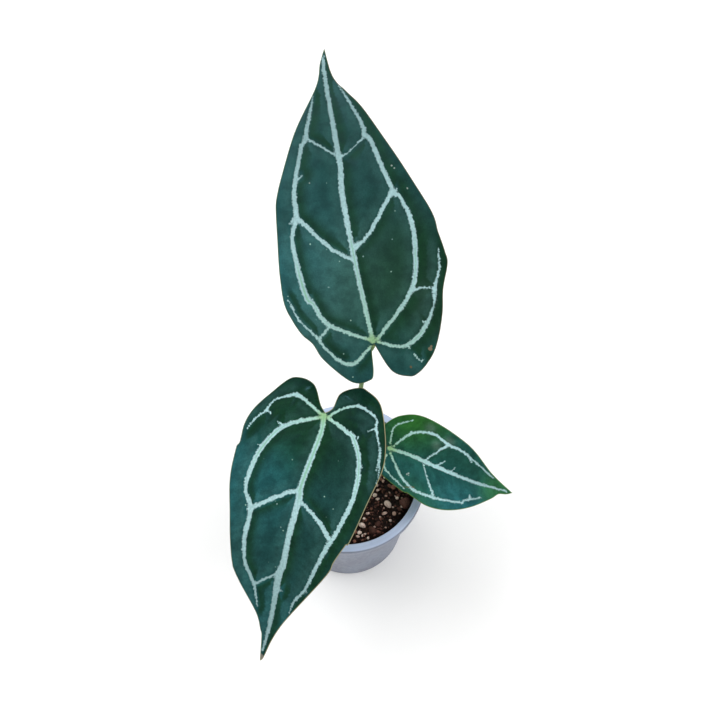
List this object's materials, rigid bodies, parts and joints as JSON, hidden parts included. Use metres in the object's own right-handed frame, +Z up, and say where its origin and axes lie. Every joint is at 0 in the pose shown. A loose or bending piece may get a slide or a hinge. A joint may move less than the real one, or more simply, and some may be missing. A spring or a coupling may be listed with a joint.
{
  "type": "potted crystal anthurium",
  "caption": "House plant with heart-shaped, pale-veined leaf blades on slender stalks from a short rooted stem, standing in bark mix in a tapered plastic nursery pot.",
  "frame": {"origin": "middle of the pot's flat underside, on the surface it stands on", "axes": "+Z up the pot's axis, +X to the right in the picture, +Y away from the picture's camera"},
  "size_m": [0.1764, 0.332, 0.266],
  "materials": {
    "pot": "satin",
    "potting_mix": "matte",
    "rootstock": "matte",
    "petiole": "satin",
    "leaf": "satin",
    "sheath": "matte"
  },
  "bodies": {
    "root": {"pot": "pot", "potting_mix": "potting_mix", "rootstock": "rootstock", "petiole_large": "petiole", "petiole_middle": "petiole", "petiole_small": "petiole", "blade_large": "leaf", "blade_middle": "leaf", "blade_small": "leaf", "sheath_large": "sheath", "sheath_middle": "sheath"}
  },
  "joints": []
}
